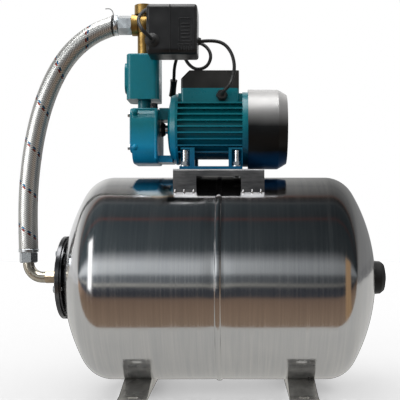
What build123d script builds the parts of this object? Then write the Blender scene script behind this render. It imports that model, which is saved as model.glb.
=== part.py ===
import os
from math import cos, degrees, radians, sin, sqrt, tan

from build123d import *

os.makedirs("parts", exist_ok=True)

# Millimetres. The origin is on the floor, midway between the four foot slots, under the
# tank's middle weld. +X runs along the tank to its air valve, +Y to the back, +Z up.

# Tank
tank_radius = 180
tank_half_length = 275
tank_axis_z = 195
tank_wall = 1.5
crown_radius = 300
knuckle_radius = 52
neck_radius = 50
neck_bore_radius = 46
flange_radius = 74
flange_bolt_circle = 62
flange_bolt_count = 6
flange_outer_x = -282

# Feet and pump platform
foot_x = 142
foot_half_depth = 122
foot_pad_depth = 20
foot_width = 48
foot_waist = 47
foot_plate = 3
foot_slot_y = 111
foot_slot_length = 18
foot_slot_width = 9
platform_top_z = 384
platform_half_width = 76.5
platform_half_depth = 100
platform_plate = 3

# Motor, on the standard 90 by 112 mm foot pattern
shaft_z = 462
motor_start_x = -73
motor_end_x = 40
motor_centre_x = -15
housing_radius = 54
housing_bore = 50
fin_tip_radius = 66
fin_count = 9
fin_pitch = 10.7
fin_thickness = 2.6
mount_spacing_x = 90
mount_spacing_y = 112
fan_cover_radius = 71.5
fan_cover_end_x = 119
shaft_radius = 8
running_gap = 0.05

# Pump, and the column of tower and brass fitting above it
casing_start_x = -152
casing_end_x = -108
casing_half_depth = 56
casing_bottom_z = 398
casing_top_z = 497
impeller_radius = 30
column_x = -137
tower_bottom_z = 513
tower_top_z = 594
tower_half_width = 29
tower_half_depth = 30
port_z = 651
inlet_z = 552
pipe_thread_radius = 15.1

# Pressure switch
switch_left_x = -122
switch_seam_x = -82
switch_right_x = -36.5
switch_front_y = -96
switch_back_y = -38
switch_bottom_z = 578
switch_top_z = 663
switch_wall = 2.5
plunger_x = -102

# Hose and leads
hose_diameter = 34
lead_diameter = 6
elbow_x = -347
elbow_bend = 27
coil_centre = (-40, 262)
coil_radius = 34
coil_turns = 3

tank_plane = Plane(origin=(0, 0, tank_axis_z), x_dir=(1, 0, 0), z_dir=(0, -1, 0))
tank_axis = Axis((0, 0, tank_axis_z), (1, 0, 0))
shaft_plane = Plane(origin=(0, 0, shaft_z), x_dir=(1, 0, 0), z_dir=(0, -1, 0))
shaft_axis = Axis((0, 0, shaft_z), (1, 0, 0))


def write(piece, label):
    piece.part.label = label
    export_step(piece.part, f"parts/{label}.step")


def across(x, z):
    """A plane square to X at the given place, its local x along +Y and its local y along +Z."""
    return Plane(origin=(x, 0, z), x_dir=(0, 1, 0), z_dir=(1, 0, 0))


def turned(points, plane, axis):
    """Turns a closed outline of (along, radius) points about an axis."""
    with BuildSketch(plane, mode=Mode.PRIVATE) as outline:
        with BuildLine():
            Polyline(*points, close=True)
        make_face()
    revolve(outline.sketch, axis=axis)


def ring(start_x, end_x, inner, outer):
    """Outline of a plain ring on the X axis."""
    return [(start_x, inner), (end_x, inner), (end_x, outer), (start_x, outer)]


def half_tank(side, shrink, mode=Mode.ADD):
    """Half a tank with a dished end: a crown arc, a knuckle arc and a straight wall."""
    radius = tank_radius - shrink
    tip = tank_half_length - shrink
    crown = crown_radius - shrink
    knuckle = knuckle_radius - shrink
    crown_centre = tip - crown
    reach = crown - knuckle
    knuckle_centre = crown_centre + sqrt(reach**2 - (radius - knuckle) ** 2)
    join_x = crown_centre + crown * (knuckle_centre - crown_centre) / reach
    join_r = crown * (radius - knuckle) / reach
    with BuildSketch(tank_plane, mode=Mode.PRIVATE) as outline:
        with BuildLine():
            Line((0, 0), (0, radius))
            Line((0, radius), (side * knuckle_centre, radius))
            bend = TangentArc((side * knuckle_centre, radius), (side * join_x, join_r), tangent=(side, 0))
            TangentArc(bend @ 1, (side * tip, 0), tangent=bend % 1)
            Line((side * tip, 0), (0, 0))
        make_face()
    revolve(outline.sketch, axis=tank_axis, mode=mode)


# Tank shells, drawn in two halves and welded in the middle

with BuildPart() as tank_shell_left:
    half_tank(-1, 0)
    half_tank(-1, tank_wall, Mode.SUBTRACT)
    with BuildSketch(across(-tank_half_length - 5, tank_axis_z)):
        Circle(neck_radius)
    extrude(amount=40, mode=Mode.SUBTRACT)
write(tank_shell_left, "tank_shell_left")

valve_boss_radius = 12
with BuildPart() as tank_shell_right:
    half_tank(1, 0)
    half_tank(1, tank_wall, Mode.SUBTRACT)
    with BuildSketch(across(tank_half_length - 20, tank_axis_z)):
        Circle(valve_boss_radius)
    extrude(amount=40, mode=Mode.SUBTRACT)
write(tank_shell_right, "tank_shell_right")

seam_half_width = 4.5
seam_height = 2.2
with BuildPart() as tank_seam_band:
    turned(ring(-seam_half_width, seam_half_width, tank_radius, tank_radius + seam_height), tank_plane, tank_axis)
    fillet(tank_seam_band.edges().filter_by(GeomType.CIRCLE).group_by(SortBy.RADIUS)[-1], radius=1.8)
write(tank_seam_band, "tank_seam_band")

# Flanged neck, bladder and cover flange at the left end

flange_plate = 4
lip_thickness = 2
ring_end_x = flange_outer_x + flange_plate + lip_thickness
with BuildPart() as tank_neck_ring:
    turned(
        [
            (-256, neck_bore_radius),
            (ring_end_x, neck_bore_radius),
            (ring_end_x, 70),
            (ring_end_x + 4, 70),
            (ring_end_x + 4, neck_radius),
            (-256, neck_radius),
        ],
        tank_plane,
        tank_axis,
    )
    with BuildSketch(across(ring_end_x - 1, tank_axis_z)):
        with PolarLocations(flange_bolt_circle, flange_bolt_count, start_angle=15):
            Circle(3)
    extrude(amount=8, mode=Mode.SUBTRACT)
write(tank_neck_ring, "tank_neck_ring")

bladder_wall = 3
with BuildPart() as bladder:
    turned(
        [
            (ring_end_x - lip_thickness, 70),
            (ring_end_x, 70),
            (ring_end_x, neck_bore_radius),
            (-242, neck_bore_radius),
            (-200, 130),
            (190, 130),
            (235, 62),
            (235, 0),
            (235 - bladder_wall, 0),
            (235 - bladder_wall, 60),
            (188, 130 - bladder_wall),
            (-198, 130 - bladder_wall),
            (-240, neck_bore_radius - bladder_wall),
            (ring_end_x - lip_thickness, neck_bore_radius - bladder_wall),
        ],
        tank_plane,
        tank_axis,
    )
    with BuildSketch(across(ring_end_x - lip_thickness - 1, tank_axis_z)):
        with PolarLocations(flange_bolt_circle, flange_bolt_count, start_angle=15):
            Circle(3.3)
    extrude(amount=6, mode=Mode.SUBTRACT)
write(bladder, "bladder")

stub_radius = 13
stub_end_x = -298
with BuildPart() as tank_flange:
    turned(
        [
            (flange_outer_x + flange_plate, 10),
            (flange_outer_x + flange_plate, flange_radius - 2),
            (flange_outer_x + flange_plate + 3, flange_radius),
            (flange_outer_x + 1, flange_radius),
            (flange_outer_x, flange_radius - 1),
            (flange_outer_x, 46),
            (flange_outer_x - 3, 40),
            (flange_outer_x - 3, stub_radius),
            (stub_end_x, stub_radius),
            (stub_end_x, 10),
        ],
        tank_plane,
        tank_axis,
    )
    with BuildSketch(across(flange_outer_x - 4, tank_axis_z)):
        with PolarLocations(flange_bolt_circle, flange_bolt_count, start_angle=15):
            Circle(3.3)
    extrude(amount=12, mode=Mode.SUBTRACT)
write(tank_flange, "tank_flange")

with BuildPart() as flange_bolts:
    with BuildSketch(across(flange_outer_x - 4, tank_axis_z)):
        with PolarLocations(flange_bolt_circle, flange_bolt_count, start_angle=15):
            RegularPolygon(5.8, 6)
    extrude(amount=4)
    with BuildSketch(across(flange_outer_x, tank_axis_z)):
        with PolarLocations(flange_bolt_circle, flange_bolt_count, start_angle=15):
            Circle(3)
    extrude(amount=11)
write(flange_bolts, "flange_bolts")

# Air valve at the right end: a boss in the shell, a stem, a sprung core pin and a push-on cap

stem_end_x = 290
pin_radius = 1.2
with BuildPart() as air_valve_stem:
    turned(
        [
            (262, pin_radius + running_gap),
            (stem_end_x, pin_radius + running_gap),
            (stem_end_x, 4),
            (281, 4),
            (281, 9),
            (275, valve_boss_radius),
            (262, valve_boss_radius),
        ],
        tank_plane,
        tank_axis,
    )
write(air_valve_stem, "air_valve_stem")

pin_travel = 1.5
with BuildPart() as air_valve_pin:
    turned(
        [
            (259.5, 0),
            (stem_end_x - 0.5, 0),
            (stem_end_x - 0.5, pin_radius),
            (261.5, pin_radius),
            (261.5, 3),
            (259.5, 3),
        ],
        tank_plane,
        tank_axis,
    )
write(air_valve_pin, "air_valve_pin")

cap_radius = 30
cap_end_x = 297
with BuildPart() as air_valve_cap:
    turned(
        [
            (275, 27.5),
            (274.5, cap_radius),
            (288, cap_radius - 1),
            (294, 24),
            (cap_end_x, 12),
            (cap_end_x, 0),
            (cap_end_x - 2.5, 0),
            (cap_end_x - 2.5, 4),
            (282, 4.2),
            (282, 6.5),
            (291, 6.5),
            (286, 26.5),
        ],
        tank_plane,
        tank_axis,
    )
write(air_valve_cap, "air_valve_cap")

# Feet: pressed channels, waisted under the tank, with a slot in each end pad


def foot(x):
    """One pressed foot across the tank, cut to the tank's curve on top."""
    rise = 22
    shoulder = 44
    outer = [
        (-foot_half_depth, 0),
        (-foot_half_depth, foot_plate),
        (-foot_half_depth + foot_pad_depth, foot_plate + 1.5),
        (-shoulder, rise),
        (shoulder, rise),
        (foot_half_depth - foot_pad_depth, foot_plate + 1.5),
        (foot_half_depth, foot_plate),
        (foot_half_depth, 0),
    ]
    plan = [
        (-foot_width / 2, -foot_half_depth),
        (foot_width / 2, -foot_half_depth),
        (foot_waist / 2, -60),
        (foot_waist / 2, 60),
        (foot_width / 2, foot_half_depth),
        (-foot_width / 2, foot_half_depth),
        (-foot_waist / 2, 60),
        (-foot_waist / 2, -60),
    ]
    with BuildSketch(Plane.XY, mode=Mode.PRIVATE) as plan_view:
        with BuildLine():
            Polyline(*[(x + across_x, along_y) for across_x, along_y in plan], close=True)
        make_face()
    extrude(plan_view.sketch, amount=rise)
    with BuildSketch(across(x - foot_width, 0), mode=Mode.PRIVATE) as side_view:
        with BuildLine():
            Polyline(*outer, close=True)
        make_face()
    extrude(side_view.sketch, amount=2 * foot_width, mode=Mode.INTERSECT)
    inner_end = foot_half_depth - foot_pad_depth - 4
    inner = [
        (-(foot_width - 9) / 2, -inner_end),
        ((foot_width - 9) / 2, -inner_end),
        ((foot_waist - 6) / 2, -56),
        ((foot_waist - 6) / 2, 56),
        ((foot_width - 9) / 2, inner_end),
        (-(foot_width - 9) / 2, inner_end),
        (-(foot_waist - 6) / 2, 56),
        (-(foot_waist - 6) / 2, -56),
    ]
    with BuildSketch(Plane.XY, mode=Mode.PRIVATE) as hollow:
        with BuildLine():
            Polyline(*[(x + across_x, along_y) for across_x, along_y in inner], close=True)
        make_face()
    extrude(hollow.sketch, amount=3.2, mode=Mode.SUBTRACT)
    with BuildSketch(across(x - foot_width, tank_axis_z), mode=Mode.PRIVATE) as tank_curve:
        Circle(tank_radius)
    extrude(tank_curve.sketch, amount=2 * foot_width, mode=Mode.SUBTRACT)
    with BuildSketch(Plane.XY, mode=Mode.PRIVATE) as slots:
        with Locations((x, foot_slot_y), (x, -foot_slot_y)):
            SlotOverall(foot_slot_length, foot_slot_width)
    extrude(slots.sketch, amount=10, mode=Mode.SUBTRACT)


with BuildPart() as foot_left:
    foot(-foot_x)
write(foot_left, "foot_left")

with BuildPart() as foot_right:
    foot(foot_x)
write(foot_right, "foot_right")

# Pump platform: a folded plate whose two skirts are welded along the tank's top

window_half_width = 37.5
window_top_z = 372
skirt_bottom_z = 340
mount_bolt_radius = 4
mount_places = [
    (motor_centre_x + side_x * mount_spacing_x / 2, side_y * mount_spacing_y / 2)
    for side_x in (-1, 1)
    for side_y in (-1, 1)
]
with BuildPart() as pump_platform:
    with BuildSketch(across(-platform_half_width, 0)):
        with Locations((0, (platform_top_z + skirt_bottom_z) / 2)):
            Rectangle(2 * platform_half_depth, platform_top_z - skirt_bottom_z)
    extrude(amount=2 * platform_half_width)
    fillet(pump_platform.edges().filter_by(Axis.X).group_by(Axis.Z)[-1], radius=4)
    with BuildSketch(across(-platform_half_width, 0)):
        with Locations((0, (platform_top_z + skirt_bottom_z) / 2 - platform_plate)):
            Rectangle(2 * (platform_half_depth - platform_plate), platform_top_z - skirt_bottom_z)
    extrude(amount=2 * platform_half_width, mode=Mode.SUBTRACT)
    with BuildSketch(Plane.XZ.offset(-platform_half_depth - 5)):
        with Locations((0, (window_top_z + skirt_bottom_z) / 2 - 5)):
            Rectangle(2 * window_half_width, window_top_z - skirt_bottom_z + 10)
    extrude(amount=2 * platform_half_depth + 10, mode=Mode.SUBTRACT)
    with BuildSketch(across(-platform_half_width - 1, tank_axis_z)):
        Circle(tank_radius)
    extrude(amount=2 * platform_half_width + 2, mode=Mode.SUBTRACT)
    with BuildSketch(Plane.XY.offset(platform_top_z - 10)):
        with Locations(*mount_places):
            Circle(mount_bolt_radius + 0.3)
    extrude(amount=20, mode=Mode.SUBTRACT)
write(pump_platform, "pump_platform")

# Motor housing: a finned tube with two foot rails on pillars

rail_height = 7
rail_width = 22
pillar_length = 24
housing_length = motor_end_x - motor_start_x
with BuildPart() as stator_housing:
    with BuildSketch(across(motor_start_x, shaft_z)):
        Circle(housing_radius)
        for row in range(fin_count):
            fin_z = (row - (fin_count - 1) / 2) * fin_pitch - 1.8
            with Locations((0, fin_z)):
                Rectangle(2 * sqrt(fin_tip_radius**2 - fin_z**2), fin_thickness)
        with Locations((0, 50)):
            Rectangle(70, 20)
    extrude(amount=housing_length)
    for end_x in (motor_start_x + 6, motor_end_x - pillar_length):
        with BuildSketch(across(end_x, 0)):
            for side_y in (-1, 1):
                with Locations((side_y * 50, (platform_top_z + shaft_z - 38) / 2)):
                    Rectangle(16, shaft_z - 38 - platform_top_z)
        extrude(amount=pillar_length)
    for side_y in (-1, 1):
        with BuildSketch(Plane.XY.offset(platform_top_z)):
            with Locations((motor_centre_x, side_y * mount_spacing_y / 2)):
                Rectangle(mount_spacing_x + 17, rail_width)
        extrude(amount=rail_height)
        with BuildSketch(Plane.XY.offset(platform_top_z + rail_height)):
            with Locations(*[place for place in mount_places if place[1] * side_y > 0]):
                Circle(9)
        extrude(amount=30, mode=Mode.SUBTRACT)
    with BuildSketch(across(motor_start_x - 1, shaft_z)):
        Circle(housing_bore)
    extrude(amount=housing_length + 2, mode=Mode.SUBTRACT)
    with BuildSketch(Plane.XY.offset(platform_top_z - 1)):
        with Locations(*mount_places):
            Circle(mount_bolt_radius + 0.3)
    extrude(amount=rail_height + 2, mode=Mode.SUBTRACT)
write(stator_housing, "stator_housing")

with BuildPart() as mount_bolts:
    with BuildSketch(Plane.XY.offset(platform_top_z - platform_plate - 3)):
        with Locations(*mount_places):
            RegularPolygon(7, 6)
    extrude(amount=3)
    with BuildSketch(Plane.XY.offset(platform_top_z - platform_plate)):
        with Locations(*mount_places):
            Circle(mount_bolt_radius)
    extrude(amount=38)
    with BuildSketch(Plane.XY.offset(platform_top_z + rail_height)):
        with Locations(*mount_places):
            Circle(8)
    extrude(amount=1.6)
    with BuildSketch(Plane.XY.offset(platform_top_z + rail_height + 1.6)):
        with Locations(*mount_places):
            RegularPolygon(7, 6)
    extrude(amount=7)
write(mount_bolts, "mount_bolts")

# Motor inside: laminations, windings, shaft, rotor, bearings, rear shield, fan and cover

core_start_x = -52
core_end_x = 18
with BuildPart() as stator_core:
    turned(ring(core_start_x, core_end_x, 28, housing_bore), shaft_plane, shaft_axis)
write(stator_core, "stator_core")

with BuildPart() as stator_windings:
    turned(ring(core_start_x - 13, core_start_x, 30, 46), shaft_plane, shaft_axis)
    turned(ring(core_end_x, core_end_x + 13, 30, 46), shaft_plane, shaft_axis)
    fillet(stator_windings.edges().filter_by(GeomType.CIRCLE), radius=3)
write(stator_windings, "stator_windings")

with BuildPart() as rotor_core:
    turned(ring(core_start_x, core_end_x, 11, 27.6), shaft_plane, shaft_axis)
write(rotor_core, "rotor_core")

shaft_tip_x = -149
shaft_tail_x = 78
with BuildPart() as motor_shaft:
    turned(
        [
            (shaft_tip_x, 0),
            (shaft_tip_x, 6),
            (-124, 6),
            (-124, shaft_radius),
            (-76, shaft_radius),
            (-76, 11),
            (36, 11),
            (36, shaft_radius),
            (50, shaft_radius),
            (50, 6.5),
            (shaft_tail_x, 6.5),
            (shaft_tail_x, 0),
        ],
        shaft_plane,
        shaft_axis,
    )
write(motor_shaft, "motor_shaft")

bearing_outer = 20
front_bearing_x = -90
rear_bearing_x = 37
bearing_width = 11
bearing_bore = shaft_radius + running_gap
with BuildPart() as front_bearing:
    turned(ring(front_bearing_x, front_bearing_x + bearing_width, bearing_bore, bearing_outer), shaft_plane, shaft_axis)
write(front_bearing, "front_bearing")

with BuildPart() as rear_bearing:
    turned(ring(rear_bearing_x, rear_bearing_x + bearing_width, bearing_bore, bearing_outer), shaft_plane, shaft_axis)
write(rear_bearing, "rear_bearing")

with BuildPart() as rear_end_shield:
    turned(
        [
            (rear_bearing_x, bearing_outer),
            (rear_bearing_x + bearing_width, bearing_outer),
            (rear_bearing_x + bearing_width, 12),
            (rear_bearing_x + bearing_width + 2, 12),
            (rear_bearing_x + bearing_width + 2, 60),
            (50, 67),
            (motor_end_x, 67),
            (motor_end_x, 26),
            (rear_bearing_x, 26),
        ],
        shaft_plane,
        shaft_axis,
    )
write(rear_end_shield, "rear_end_shield")

fan_radius = 56
blade_count = 7
with BuildPart() as fan:
    turned(ring(57, 76, 6.5, 13), shaft_plane, shaft_axis)
    turned(ring(57, 59, 13, fan_radius), shaft_plane, shaft_axis)
    with BuildSketch(across(59, shaft_z)):
        with PolarLocations(0, blade_count):
            with Locations((34, 0)):
                Rectangle(44, 2.2)
    extrude(amount=15)
write(fan, "fan")

cover_wall = 1.6
grille_rows = 4
with BuildPart() as fan_cover:
    turned(
        [
            (50, fan_cover_radius - cover_wall),
            (102, fan_cover_radius - cover_wall),
            (fan_cover_end_x - cover_wall, 61),
            (fan_cover_end_x - cover_wall, 0),
            (fan_cover_end_x, 0),
            (fan_cover_end_x, 62),
            (103, fan_cover_radius),
            (50, fan_cover_radius),
        ],
        shaft_plane,
        shaft_axis,
    )
    with BuildSketch(across(fan_cover_end_x - 4, shaft_z)):
        for row in range(grille_rows):
            row_radius = 16 + 11 * row
            with PolarLocations(row_radius, 6 + 6 * row):
                SlotOverall(9, 5, rotation=90)
    extrude(amount=8, mode=Mode.SUBTRACT)
write(fan_cover, "fan_cover")

# Terminal box on top of the motor

box_start_x = -68
box_end_x = 34
box_half_depth = 42
box_seat_z = shaft_z + 41
box_seam_z = 530
lid_top_z = 561
gland_x = 4.2
gland_z = 516.5
box_centre_x = (box_start_x + box_end_x) / 2
box_length = box_end_x - box_start_x
with BuildPart() as terminal_base:
    with BuildSketch(Plane.XY.offset(box_seat_z)):
        with Locations((box_centre_x, 0)):
            RectangleRounded(box_length, 2 * box_half_depth, 5)
    extrude(amount=box_seam_z - box_seat_z)
    with BuildSketch(Plane.XY.offset(shaft_z + 63)):
        with Locations((box_centre_x, 0)):
            RectangleRounded(box_length - 6, 2 * box_half_depth - 6, 3)
    extrude(amount=20, mode=Mode.SUBTRACT)
    with BuildSketch(across(box_start_x - 1, shaft_z)):
        Circle(housing_radius)
        for row in range(fin_count):
            fin_z = (row - (fin_count - 1) / 2) * fin_pitch - 1.8
            with Locations((0, fin_z)):
                Rectangle(2 * sqrt(fin_tip_radius**2 - fin_z**2), fin_thickness)
        with Locations((0, 50)):
            Rectangle(70, 20)
    extrude(amount=box_length + 2, mode=Mode.SUBTRACT)
write(terminal_base, "terminal_base")

lid_chamfer = 15
with BuildPart() as terminal_lid:
    with BuildSketch(Plane.XZ.offset(-box_half_depth)):
        with BuildLine():
            Polyline(
                (box_start_x, box_seam_z),
                (box_end_x, box_seam_z),
                (box_end_x, lid_top_z),
                (box_start_x + lid_chamfer, lid_top_z),
                (box_start_x, lid_top_z - lid_chamfer),
                close=True,
            )
        make_face()
    extrude(amount=2 * box_half_depth)
    fillet(terminal_lid.edges().filter_by(Axis.Z), radius=4)
    offset(amount=-2.5, openings=terminal_lid.faces().sort_by(Axis.Z)[0])
write(terminal_lid, "terminal_lid")

with BuildPart() as terminal_block:
    with BuildSketch(Plane.XY.offset(shaft_z + 63)):
        with Locations((box_start_x + 22, 0)):
            Rectangle(24, 50)
    extrude(amount=14)
write(terminal_block, "terminal_block")

with BuildPart() as capacitor:
    with BuildSketch(across(-32, 543)):
        Circle(14)
    extrude(amount=58)
    fillet(capacitor.edges(), radius=1.5)
write(capacitor, "capacitor")

gland_mouth_y = -57
with BuildPart() as cable_gland:
    with BuildSketch(Plane.XZ.offset(box_half_depth)):
        with Locations((gland_x, gland_z)):
            RegularPolygon(10.5, 6)
    extrude(amount=6)
    with BuildSketch(Plane.XZ.offset(box_half_depth + 6)):
        with Locations((gland_x, gland_z)):
            Circle(9.5)
    extrude(amount=-gland_mouth_y - box_half_depth - 6, taper=12)
write(cable_gland, "cable_gland")

# Pump: lantern bracket, casing with its priming tower, cover, impeller and seal

hub_radius = 26
flange_start_x = -88
with BuildPart() as lantern_bracket:
    turned(
        [
            (front_bearing_x - 3, 12),
            (front_bearing_x, 12),
            (front_bearing_x, bearing_outer),
            (front_bearing_x + bearing_width, bearing_outer),
            (front_bearing_x + bearing_width, 48),
            (motor_start_x, 48),
            (motor_start_x, 63),
            (motor_start_x - 4, 64),
            (flange_start_x + 2, 60),
            (front_bearing_x - 1, 42),
            (front_bearing_x - 3, hub_radius),
        ],
        shaft_plane,
        shaft_axis,
    )
    with BuildSketch(across(casing_end_x, 0)):
        with Locations((0, shaft_z + 25.5)):
            Rectangle(44, 21)
    extrude(amount=front_bearing_x - 1.5 - casing_end_x)
    with BuildSketch(across(casing_end_x, 0)):
        with Locations((0, casing_bottom_z + 9)):
            Rectangle(56, 12)
    extrude(amount=flange_start_x + 4 - casing_end_x)
write(lantern_bracket, "lantern_bracket")

chamber_radius = impeller_radius + 1.5
neck_half_width = 12
casing_centre_z = (casing_bottom_z + casing_top_z) / 2
with BuildPart() as pump_casing:
    with BuildSketch(across(casing_start_x, 0)):
        with Locations((0, casing_centre_z)):
            RectangleRounded(2 * casing_half_depth, casing_top_z - casing_bottom_z, 30)
    extrude(amount=casing_end_x - casing_start_x)
    fillet(pump_casing.edges().group_by(Axis.X)[-1], radius=4)
    with BuildSketch(Plane.XY.offset(casing_top_z - 4)):
        with Locations((column_x, 0)):
            Circle(neck_half_width)
    extrude(amount=tower_bottom_z - casing_top_z + 8)
    with BuildSketch(Plane.XY.offset(tower_bottom_z)):
        with Locations((column_x, 0)):
            RectangleRounded(2 * tower_half_width, 2 * tower_half_depth, 9)
    extrude(amount=tower_top_z - tower_bottom_z)
    fillet(pump_casing.edges().group_by(Axis.Z)[-1], radius=3)
    with BuildSketch(across(column_x - tower_half_width - 3, inlet_z)):
        RectangleRounded(54, 54, 14)
    extrude(amount=10)
    with BuildSketch(across(casing_start_x, shaft_z)):
        Circle(chamber_radius)
    extrude(amount=32, mode=Mode.SUBTRACT)
    with BuildSketch(across(casing_start_x, shaft_z)):
        Circle(13)
    extrude(amount=60, mode=Mode.SUBTRACT)
    with BuildSketch(Plane.XY.offset(shaft_z + 20)):
        with Locations((column_x, 0)):
            Circle(8)
    extrude(amount=tower_bottom_z - shaft_z, mode=Mode.SUBTRACT)
    with BuildSketch(Plane.XY.offset(tower_bottom_z + 7)):
        with Locations((column_x, 0)):
            RectangleRounded(2 * tower_half_width - 12, 2 * tower_half_depth - 12, 5)
    extrude(amount=tower_top_z - tower_bottom_z - 14, mode=Mode.SUBTRACT)
    with BuildSketch(Plane.XY.offset(tower_top_z - 10)):
        with Locations((column_x, 0)):
            Circle(10)
    extrude(amount=12, mode=Mode.SUBTRACT)
    with BuildSketch(across(column_x - tower_half_width - 4, inlet_z)):
        Circle(pipe_thread_radius)
    extrude(amount=16, mode=Mode.SUBTRACT)
write(pump_casing, "pump_casing")

with BuildPart() as priming_plug:
    with BuildSketch(Plane.XY.offset(casing_top_z)):
        with Locations((casing_end_x - 9, -24)):
            Circle(7)
    extrude(amount=2.5)
    with BuildSketch(Plane.XY.offset(casing_top_z + 2.5)):
        with Locations((casing_end_x - 9, -24)):
            RegularPolygon(6.5, 6)
    extrude(amount=6)
write(priming_plug, "priming_plug")

cover_thickness = 6
cover_half_depth = 42
cover_bottom_z = 416
cover_bolt_places = [
    (side_y * 33, 427 + level * 58) for side_y in (-1, 1) for level in (0, 1)
]
with BuildPart() as casing_cover:
    with BuildSketch(across(casing_start_x - cover_thickness, 0)):
        with Locations((0, (cover_bottom_z + casing_top_z) / 2)):
            RectangleRounded(2 * cover_half_depth, casing_top_z - cover_bottom_z - 2, 14)
    extrude(amount=cover_thickness)
    fillet(casing_cover.edges().group_by(Axis.X)[0], radius=2.5)
write(casing_cover, "casing_cover")

with BuildPart() as cover_bolts:
    with BuildSketch(across(casing_start_x - cover_thickness - 4, 0)):
        with Locations(*cover_bolt_places):
            RegularPolygon(5.5, 6)
    extrude(amount=4)
write(cover_bolts, "cover_bolts")

vane_count = 24
with BuildPart() as impeller:
    turned(ring(-143, -125, 6, 11), shaft_plane, shaft_axis)
    turned(ring(-139, -129, 11, impeller_radius), shaft_plane, shaft_axis)
    with BuildSketch(across(-140, shaft_z)):
        with PolarLocations(impeller_radius - 2.5, vane_count):
            Rectangle(7, 4)
    extrude(amount=12, mode=Mode.SUBTRACT)
write(impeller, "impeller")

with BuildPart() as impeller_nut:
    with BuildSketch(across(-148, shaft_z)):
        RegularPolygon(10, 6)
        Circle(6, mode=Mode.SUBTRACT)
    extrude(amount=5)
write(impeller_nut, "impeller_nut")

with BuildPart() as seal_seat:
    turned(ring(-116, casing_end_x, shaft_radius + 0.5, 13), shaft_plane, shaft_axis)
write(seal_seat, "seal_seat")

with BuildPart() as seal_face:
    turned(ring(-123.5, -116.3, shaft_radius, 12.4), shaft_plane, shaft_axis)
write(seal_face, "seal_face")

with BuildPart() as shaft_slinger:
    turned([(-106, shaft_radius), (-99, shaft_radius), (-99, 10), (-104, 13.5), (-106, 13.5)], shaft_plane, shaft_axis)
write(shaft_slinger, "shaft_slinger")

# Brass five-way fitting, its plug and the elbow that holds the switch

ball_radius = 20
side_port_radius = 19
side_port_start_x = -159
top_port_radius = 18
top_port_z = 685.5
with BuildPart() as five_way_fitting:
    with BuildSketch(Plane.XY.offset(tower_top_z)):
        with Locations((column_x, 0)):
            Circle(12.5)
    extrude(amount=port_z - tower_top_z)
    with BuildSketch(Plane.XY.offset(port_z)):
        with Locations((column_x, 0)):
            Circle(14)
    extrude(amount=top_port_z - port_z - 17)
    with BuildSketch(Plane.XY.offset(top_port_z - 17)):
        with Locations((column_x, 0)):
            Circle(top_port_radius)
    extrude(amount=17)
    with BuildSketch(across(side_port_start_x, port_z)):
        Circle(side_port_radius)
    extrude(amount=11)
    with BuildSketch(across(side_port_start_x, port_z)):
        Circle(15)
    extrude(amount=column_x - side_port_start_x)
    with BuildSketch(across(column_x, port_z)):
        Circle(9)
    extrude(amount=25)
    with BuildSketch(Plane.XZ.offset(-25)):
        with Locations((column_x, port_z)):
            Circle(9)
    extrude(amount=25)
    with Locations((column_x, 0, port_z)):
        Sphere(ball_radius)
    with BuildSketch(Plane.XY.offset(tower_top_z - 1)):
        with Locations((column_x, 0)):
            Circle(8.5)
    extrude(amount=port_z - tower_top_z + 1, mode=Mode.SUBTRACT)
    with BuildSketch(Plane.XY.offset(port_z)):
        with Locations((column_x, 0)):
            Circle(10)
    extrude(amount=top_port_z - port_z, mode=Mode.SUBTRACT)
    with BuildSketch(Plane.XY.offset(top_port_z - 15)):
        with Locations((column_x, 0)):
            Circle(pipe_thread_radius)
    extrude(amount=16, mode=Mode.SUBTRACT)
    with BuildSketch(across(side_port_start_x - 1, port_z)):
        Circle(10)
    extrude(amount=column_x - side_port_start_x + 1, mode=Mode.SUBTRACT)
write(five_way_fitting, "five_way_fitting")

with BuildPart() as gauge_port_plug:
    with BuildSketch(Plane.XZ.offset(-30)):
        with Locations((column_x, port_z)):
            RegularPolygon(8, 6)
    extrude(amount=5)
write(gauge_port_plug, "gauge_port_plug")

switch_nut_thickness = 8
with BuildPart() as switch_elbow:
    with BuildSketch(across(column_x + 25, port_z)):
        Circle(7)
    extrude(amount=plunger_x - column_x - 25)
    with BuildSketch(Plane.XZ):
        with Locations((plunger_x, port_z)):
            Circle(7)
    extrude(amount=-switch_back_y - switch_nut_thickness)
    with Locations((plunger_x, 0, port_z)):
        Sphere(7)
write(switch_elbow, "switch_elbow")

with BuildPart() as switch_nut:
    with BuildSketch(Plane.XZ.offset(-switch_back_y - switch_nut_thickness)):
        with Locations((plunger_x, port_z)):
            RegularPolygon(10, 6)
    extrude(amount=switch_nut_thickness)
write(switch_nut, "switch_nut")

# Pressure switch: base and cover meet at a seam; a plunger tips a contact lever inside


def switch_shell(start_x, end_x):
    """A box with rounded corners, its wall even all round, before its open side is cut."""
    centre = ((switch_front_y + switch_back_y) / 2, (switch_bottom_z + switch_top_z) / 2)
    with BuildSketch(across(start_x, 0), mode=Mode.PRIVATE) as section:
        with Locations(centre):
            RectangleRounded(switch_back_y - switch_front_y, switch_top_z - switch_bottom_z, 9)
    extrude(section.sketch, amount=end_x - start_x)


grommet_x = -112
grommet_z = 600
lead_exit_z = 607
lead_exit_y = -60
plunger_radius = 5
with BuildPart() as switch_base:
    switch_shell(switch_left_x, switch_seam_x)
    fillet(switch_base.edges().group_by(Axis.X)[0], radius=6)
    offset(amount=-switch_wall, openings=switch_base.faces().sort_by(Axis.X)[-1])
    with BuildSketch(Plane.XZ.offset(-switch_back_y)):
        with Locations((plunger_x, port_z)):
            Circle(plunger_radius + 3)
    extrude(amount=8)
    with BuildSketch(Plane.XZ.offset(-switch_back_y - 1)):
        with Locations((plunger_x, port_z)):
            Circle(plunger_radius + running_gap)
    extrude(amount=12, mode=Mode.SUBTRACT)
write(switch_base, "switch_base")

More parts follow.
